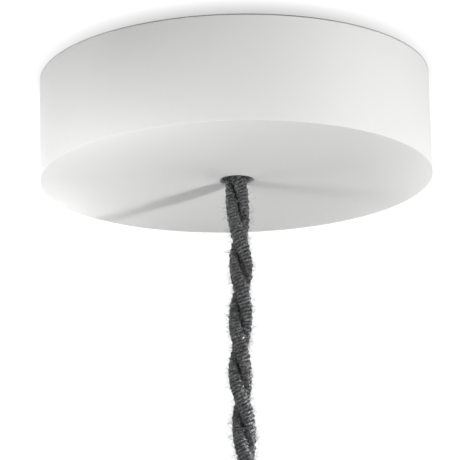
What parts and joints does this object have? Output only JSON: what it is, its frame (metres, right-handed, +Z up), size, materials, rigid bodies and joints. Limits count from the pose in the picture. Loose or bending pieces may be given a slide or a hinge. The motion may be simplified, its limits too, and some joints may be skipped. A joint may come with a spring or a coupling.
{
  "type": "wooden ceiling canopy",
  "caption": "Round turned wooden ceiling canopy, painted white, for a pendant lamp, with its steel bracket, terminal block, cord clamp and a twisted textile cord.",
  "frame": {"origin": "centre of the ceiling plane that the cup's rim lies against", "axes": "+Z up into the ceiling, along the cup's axis; +X along the bracket, towards the terminal block"},
  "size_m": [0.12, 0.12, 0.1889],
  "materials": {
    "white_paint": "matt white paint on turned wood, with a faint trace of the grain",
    "zinc_steel": "zinc-plated, satin",
    "brass": "plain turned brass",
    "natural_nylon": "natural moulded nylon",
    "black_nylon": "black moulded nylon",
    "grey_textile": "coarse dark grey linen-like textile cover, ribbed, with loose fibres",
    "brown_core": "brown core insulation",
    "blue_core": "blue core insulation",
    "tinned_copper": "tinned copper end sleeve"
  },
  "bodies": {
    "root": {"canopy_cup": "white_paint", "ceiling_bracket": "zinc_steel", "ceiling_screw_left": "zinc_steel", "ceiling_screw_right": "zinc_steel", "ceiling_washer_left": "zinc_steel", "ceiling_washer_right": "zinc_steel", "side_screw_left": "zinc_steel", "side_screw_right": "zinc_steel", "earth_screw": "brass", "earth_washer": "brass", "terminal_body": "natural_nylon", "terminal_tube_live": "brass", "terminal_tube_neutral": "brass", "terminal_screw_live_lamp": "zinc_steel", "terminal_screw_live_house": "zinc_steel", "terminal_screw_neutral_lamp": "zinc_steel", "terminal_screw_neutral_house": "zinc_steel", "terminal_fixing_screw": "zinc_steel", "cord_clamp_base": "natural_nylon", "cord_clamp_jaw": "natural_nylon", "clamp_screw_left": "zinc_steel", "clamp_screw_right": "zinc_steel", "floor_screw_left": "zinc_steel", "floor_screw_right": "zinc_steel", "core_live": "brown_core", "core_neutral": "blue_core", "end_sleeve_live": "tinned_copper", "end_sleeve_neutral": "tinned_copper", "pendant_cord": "grey_textile", "cord_grip": "black_nylon", "cord_grip_screw": "black_nylon"}
  },
  "joints": []
}
